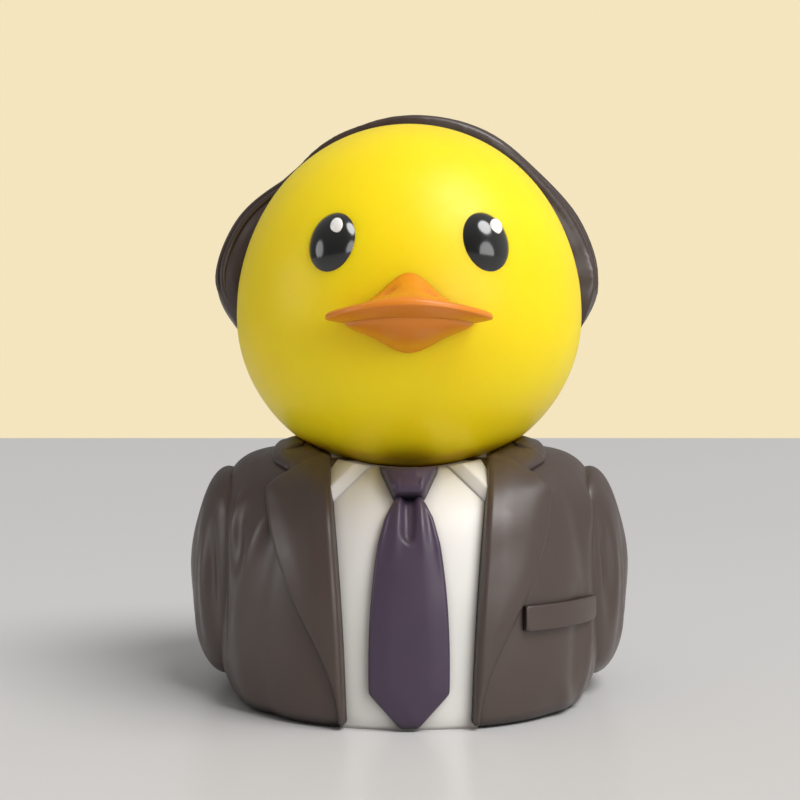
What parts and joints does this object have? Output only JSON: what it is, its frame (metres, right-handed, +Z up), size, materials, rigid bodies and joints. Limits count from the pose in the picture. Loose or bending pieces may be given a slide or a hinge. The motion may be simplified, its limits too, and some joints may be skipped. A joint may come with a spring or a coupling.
{
  "type": "rubber duck",
  "caption": "Rubber duck in a suit jacket, shirt and tie, with a round head, flat bill, swept-back hair and sleeve-like wings, standing on a flat base.",
  "frame": {"origin": "middle of the flat base, on the surface that the duck stands on", "axes": "+Z up; the duck faces -Y, and its left side, with the breast pocket, is at +X"},
  "size_m": [0.0706, 0.0857, 0.0895],
  "materials": {
    "jacket_vinyl": "satin",
    "shirt_vinyl": "satin",
    "tie_vinyl": "satin",
    "head_vinyl": "satin",
    "bill_vinyl": "satin",
    "hair_vinyl": "satin",
    "eye_gloss": "gloss"
  },
  "bodies": {
    "root": {"jacket_body": "jacket_vinyl", "shirt_front": "shirt_vinyl", "necktie": "tie_vinyl", "left_wing": "jacket_vinyl", "right_wing": "jacket_vinyl", "head": "head_vinyl", "bill": "bill_vinyl", "hair": "hair_vinyl", "left_eye": "eye_gloss", "right_eye": "eye_gloss"}
  },
  "joints": []
}
